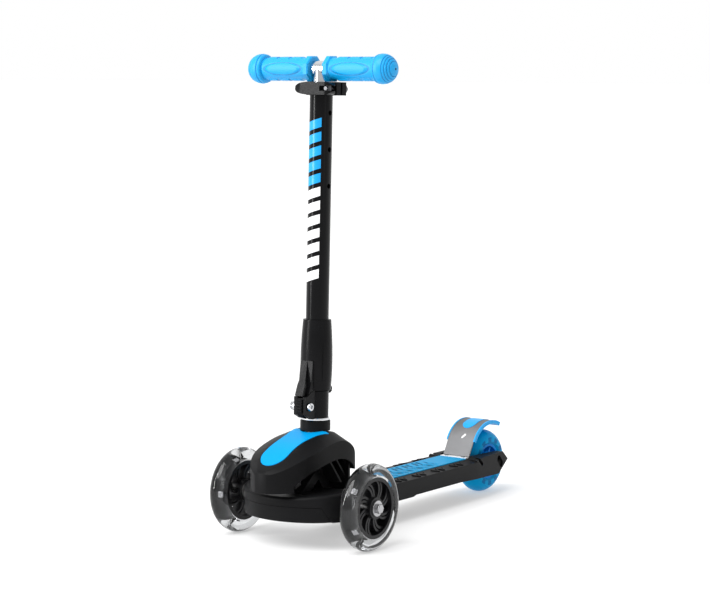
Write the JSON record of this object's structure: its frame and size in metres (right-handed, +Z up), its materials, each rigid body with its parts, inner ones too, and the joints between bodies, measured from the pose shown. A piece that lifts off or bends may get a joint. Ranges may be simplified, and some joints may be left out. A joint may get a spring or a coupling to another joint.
{
  "type": "kick scooter",
  "caption": "Child's folding kick scooter with a lean-steered front truck, height-adjustable handlebar, grip deck and a rear foot brake over a single rear wheel.",
  "frame": {"origin": "on the floor under the middle of the scooter's length and width", "axes": "+Z up, -Y is the nose (direction of travel), +X is the rider's left"},
  "size_m": [0.2638, 0.593, 0.6702],
  "materials": {
    "black_plastic": "fine moulded texture, satin",
    "black_gloss": "gloss black paint",
    "grip_blue": "soft satin rubber",
    "plate_blue": "smooth satin-gloss",
    "mat_blue": "printed grip sheet",
    "chrome": "bright plated",
    "steel": "zinc plated sheet",
    "clear_tyre": "clear grey polyurethane",
    "blue_tyre": "translucent blue polyurethane",
    "core_black": "moulded gloss black",
    "core_blue": "moulded bright blue",
    "pad_blue": "moulded satin",
    "light_white": "clear lamp body",
    "inner_plastic": "plain nylon",
    "bush_rubber": "plain rubber"
  },
  "bodies": {
    "frame": {"deck": "black_plastic", "deck_mat": "mat_blue", "neck_screws": "steel", "frame_neck": "black_plastic", "head_hood": "black_plastic", "head_cover_plate": "plate_blue", "stem_post": "steel", "stem_collar": "black_plastic", "stem_ring": "chrome", "hinge_block": "black_plastic", "fold_pin": "steel", "latch_bolt": "chrome", "latch_nut": "chrome", "trigger_spring": "steel", "kingpin": "steel", "kingpin_nut": "steel", "brake_foot": "steel", "brake_screws": "steel", "rear_axle": "core_black", "rear_axle_nut": "core_black", "rear_spacers": "inner_plastic"},
    "front_truck": {"truck_beam": "black_plastic", "truck_cover": "black_plastic", "steering_bush": "bush_rubber", "left_axle": "chrome", "right_axle": "chrome", "axle_washers": "chrome", "axle_spacers": "inner_plastic"},
    "left_wheel": {"left_wheel_tyre": "clear_tyre", "left_wheel_core": "core_black", "left_wheel_lights": "light_white", "left_wheel_bearings": "steel"},
    "right_wheel": {"right_wheel_tyre": "clear_tyre", "right_wheel_core": "core_black", "right_wheel_lights": "light_white", "right_wheel_bearings": "steel"},
    "rear_wheel": {"rear_wheel_tyre": "blue_tyre", "rear_wheel_core": "core_blue", "rear_wheel_bearings": "steel"},
    "brake": {"brake_plate": "steel", "brake_pad": "pad_blue"},
    "column": {"hinge_casting": "black_plastic", "hinge_cover": "black_plastic", "column_tube": "black_gloss", "column_bush": "inner_plastic", "clamp_collar": "black_plastic", "clamp_bolt": "chrome", "clamp_barrel": "steel", "clamp_nut": "chrome"},
    "trigger": {"fold_trigger": "black_plastic"},
    "lever": {"clamp_lever": "black_plastic"},
    "handlebar": {"handlebar_stem": "chrome", "handlebar_crossbar": "chrome", "left_grip": "grip_blue", "right_grip": "grip_blue", "stem_guide": "inner_plastic", "button_spring": "steel"},
    "button": {"height_button": "steel"}
  },
  "joints": [
    {"name": "steer", "type": "hinge", "parent": "frame", "child": "front_truck", "pos_m": [0, -0.2015, 0.06], "axis": [0, -0.6157, 0.788], "range_deg": [-12, 12], "stiffness_Nm_per_rad": 40},
    {"name": "left_wheel_spin", "type": "hinge", "parent": "front_truck", "child": "left_wheel", "pos_m": [0.112, -0.2015, 0.06], "axis": [1, 0, 0], "continuous": true},
    {"name": "right_wheel_spin", "type": "hinge", "parent": "front_truck", "child": "right_wheel", "pos_m": [-0.112, -0.2015, 0.06], "axis": [1, 0, 0], "continuous": true},
    {"name": "rear_wheel_spin", "type": "hinge", "parent": "frame", "child": "rear_wheel", "pos_m": [0, 0.2485, 0.048], "axis": [1, 0, 0], "continuous": true},
    {"name": "brake_press", "type": "hinge", "parent": "frame", "child": "brake", "pos_m": [0, 0.1815, 0.0633], "axis": [-1, 0, 0], "range_deg": [0, 6.5], "stiffness_Nm_per_rad": 25},
    {"name": "column_fold", "type": "hinge", "parent": "frame", "child": "column", "pos_m": [0, -0.15315, 0.2075], "axis": [-1, 0, 0], "range_deg": [0, 88]},
    {"name": "trigger_pull", "type": "hinge", "parent": "frame", "child": "trigger", "pos_m": [0, -0.20086, 0.18796], "axis": [1, 0, 0], "range_deg": [0, 10], "stiffness_Nm_per_rad": 0.6},
    {"name": "lever_swing", "type": "hinge", "parent": "column", "child": "lever", "pos_m": [0.027, -0.17866, 0.62325], "axis": [0, 0.0349, 0.9994], "range_deg": [0, 110]},
    {"name": "height_slide", "type": "slide", "parent": "column", "child": "handlebar", "axis": [0, 0.0349, 0.9994], "range_m": [0, 0.15]},
    {"name": "button_press", "type": "slide", "parent": "handlebar", "child": "button", "axis": [1, 0, 0], "range_m": [-0.0025, 0], "stiffness_N_per_m": 400, "deforming": ["button_spring"]}
  ]
}
